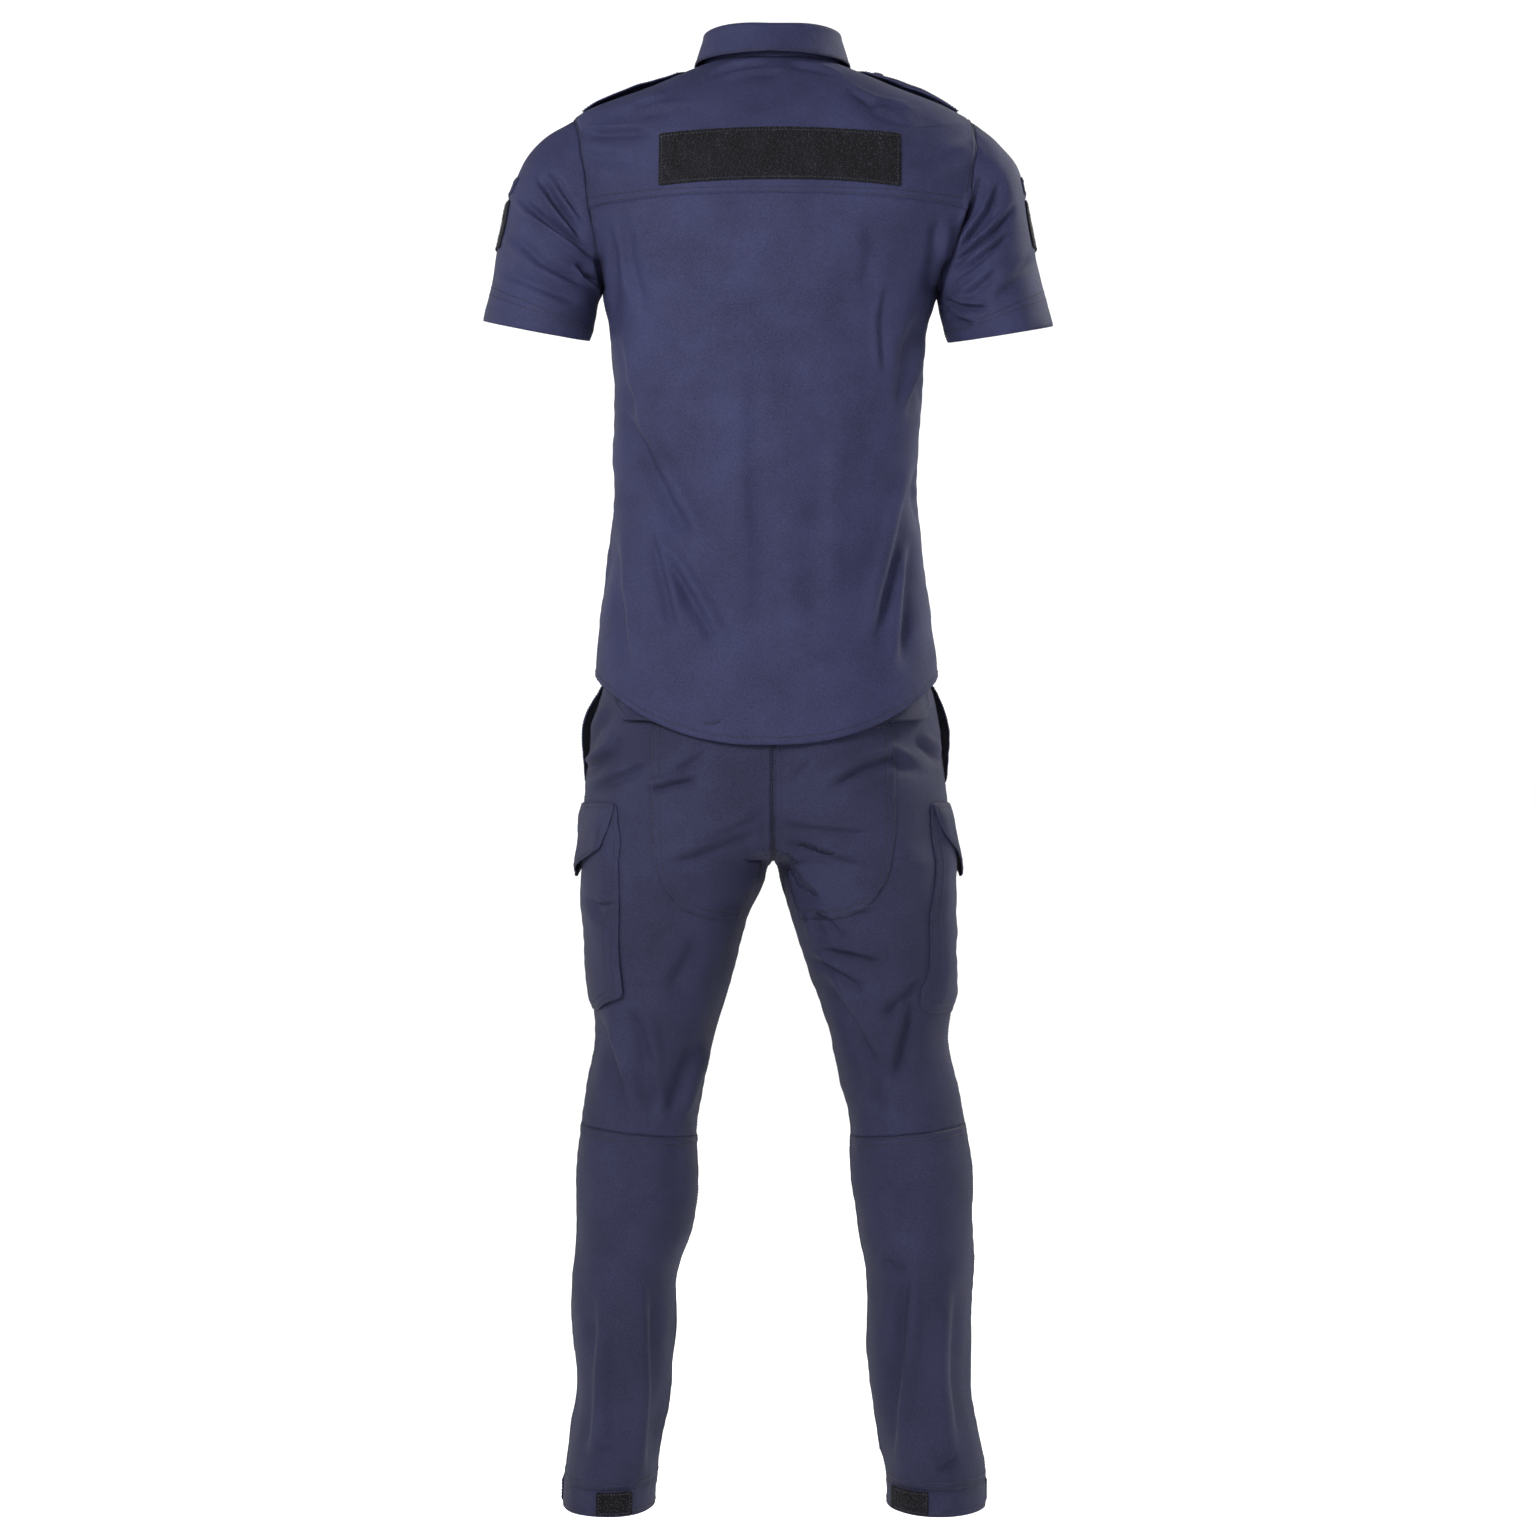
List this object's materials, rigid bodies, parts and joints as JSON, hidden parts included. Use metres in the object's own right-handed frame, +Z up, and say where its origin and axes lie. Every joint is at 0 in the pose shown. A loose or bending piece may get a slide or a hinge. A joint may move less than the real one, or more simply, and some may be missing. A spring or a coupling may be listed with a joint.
{
  "type": "security guard uniform",
  "caption": "Two-piece guard's work uniform: short-sleeved collared shirt with shoulder straps and a loop panel, worn outside cargo trousers, filled out with no wearer.",
  "frame": {"origin": "base of the neck, midway between the shoulders that hold the uniform up", "axes": "+Z up, +Y towards the wearer's back, +X towards the wearer's left"},
  "size_m": [0.569, 0.2648, 1.4689],
  "materials": {
    "shirt_cloth": "matt woven poplin, polyester and cotton",
    "trouser_cloth": "matt woven twill, polyester and cotton",
    "fastening_tape": "hook-and-loop tape, nylon pile",
    "buttons": "moulded polyester resin, semi-matt"
  },
  "bodies": {
    "root": {"ankle_hook_left": "fastening_tape", "ankle_hook_right": "fastening_tape", "ankle_tab_left": "trouser_cloth", "ankle_tab_right": "trouser_cloth", "back_flap_left": "trouser_cloth", "back_flap_right": "trouser_cloth", "back_loop_panel": "fastening_tape", "cargo_flap_left": "trouser_cloth", "cargo_flap_right": "trouser_cloth", "cargo_pocket_left": "trouser_cloth", "cargo_pocket_right": "trouser_cloth", "collar_fall": "shirt_cloth", "collar_stand": "shirt_cloth", "epaulette_button_left": "buttons", "epaulette_button_right": "buttons", "epaulette_left": "shirt_cloth", "epaulette_right": "shirt_cloth", "fly": "trouser_cloth", "hem_band_left": "trouser_cloth", "hem_band_right": "trouser_cloth", "hip_mouth_left": "trouser_cloth", "hip_mouth_right": "trouser_cloth", "leg_back_lower_left": "trouser_cloth", "leg_back_lower_right": "trouser_cloth", "leg_back_upper_left": "trouser_cloth", "leg_back_upper_right": "trouser_cloth", "leg_front_lower_left": "trouser_cloth", "leg_front_lower_right": "trouser_cloth", "leg_front_upper_left": "trouser_cloth", "leg_front_upper_right": "trouser_cloth", "seat_patch_left": "trouser_cloth", "seat_patch_right": "trouser_cloth", "shirt_back": "shirt_cloth", "shirt_button_1": "buttons", "shirt_button_2": "buttons", "shirt_button_3": "buttons", "shirt_button_4": "buttons", "shirt_button_5": "buttons", "shirt_button_6": "buttons", "shirt_button_7": "buttons", "shirt_front_left": "shirt_cloth", "shirt_front_right": "shirt_cloth", "shirt_placket": "shirt_cloth", "shirt_yoke": "shirt_cloth", "sleeve_left": "shirt_cloth", "sleeve_loop_left": "fastening_tape", "sleeve_loop_right": "fastening_tape", "sleeve_right": "shirt_cloth", "sleeve_tab_left": "shirt_cloth", "sleeve_tab_right": "shirt_cloth", "waist_button": "buttons", "waistband": "trouser_cloth"}
  },
  "joints": []
}
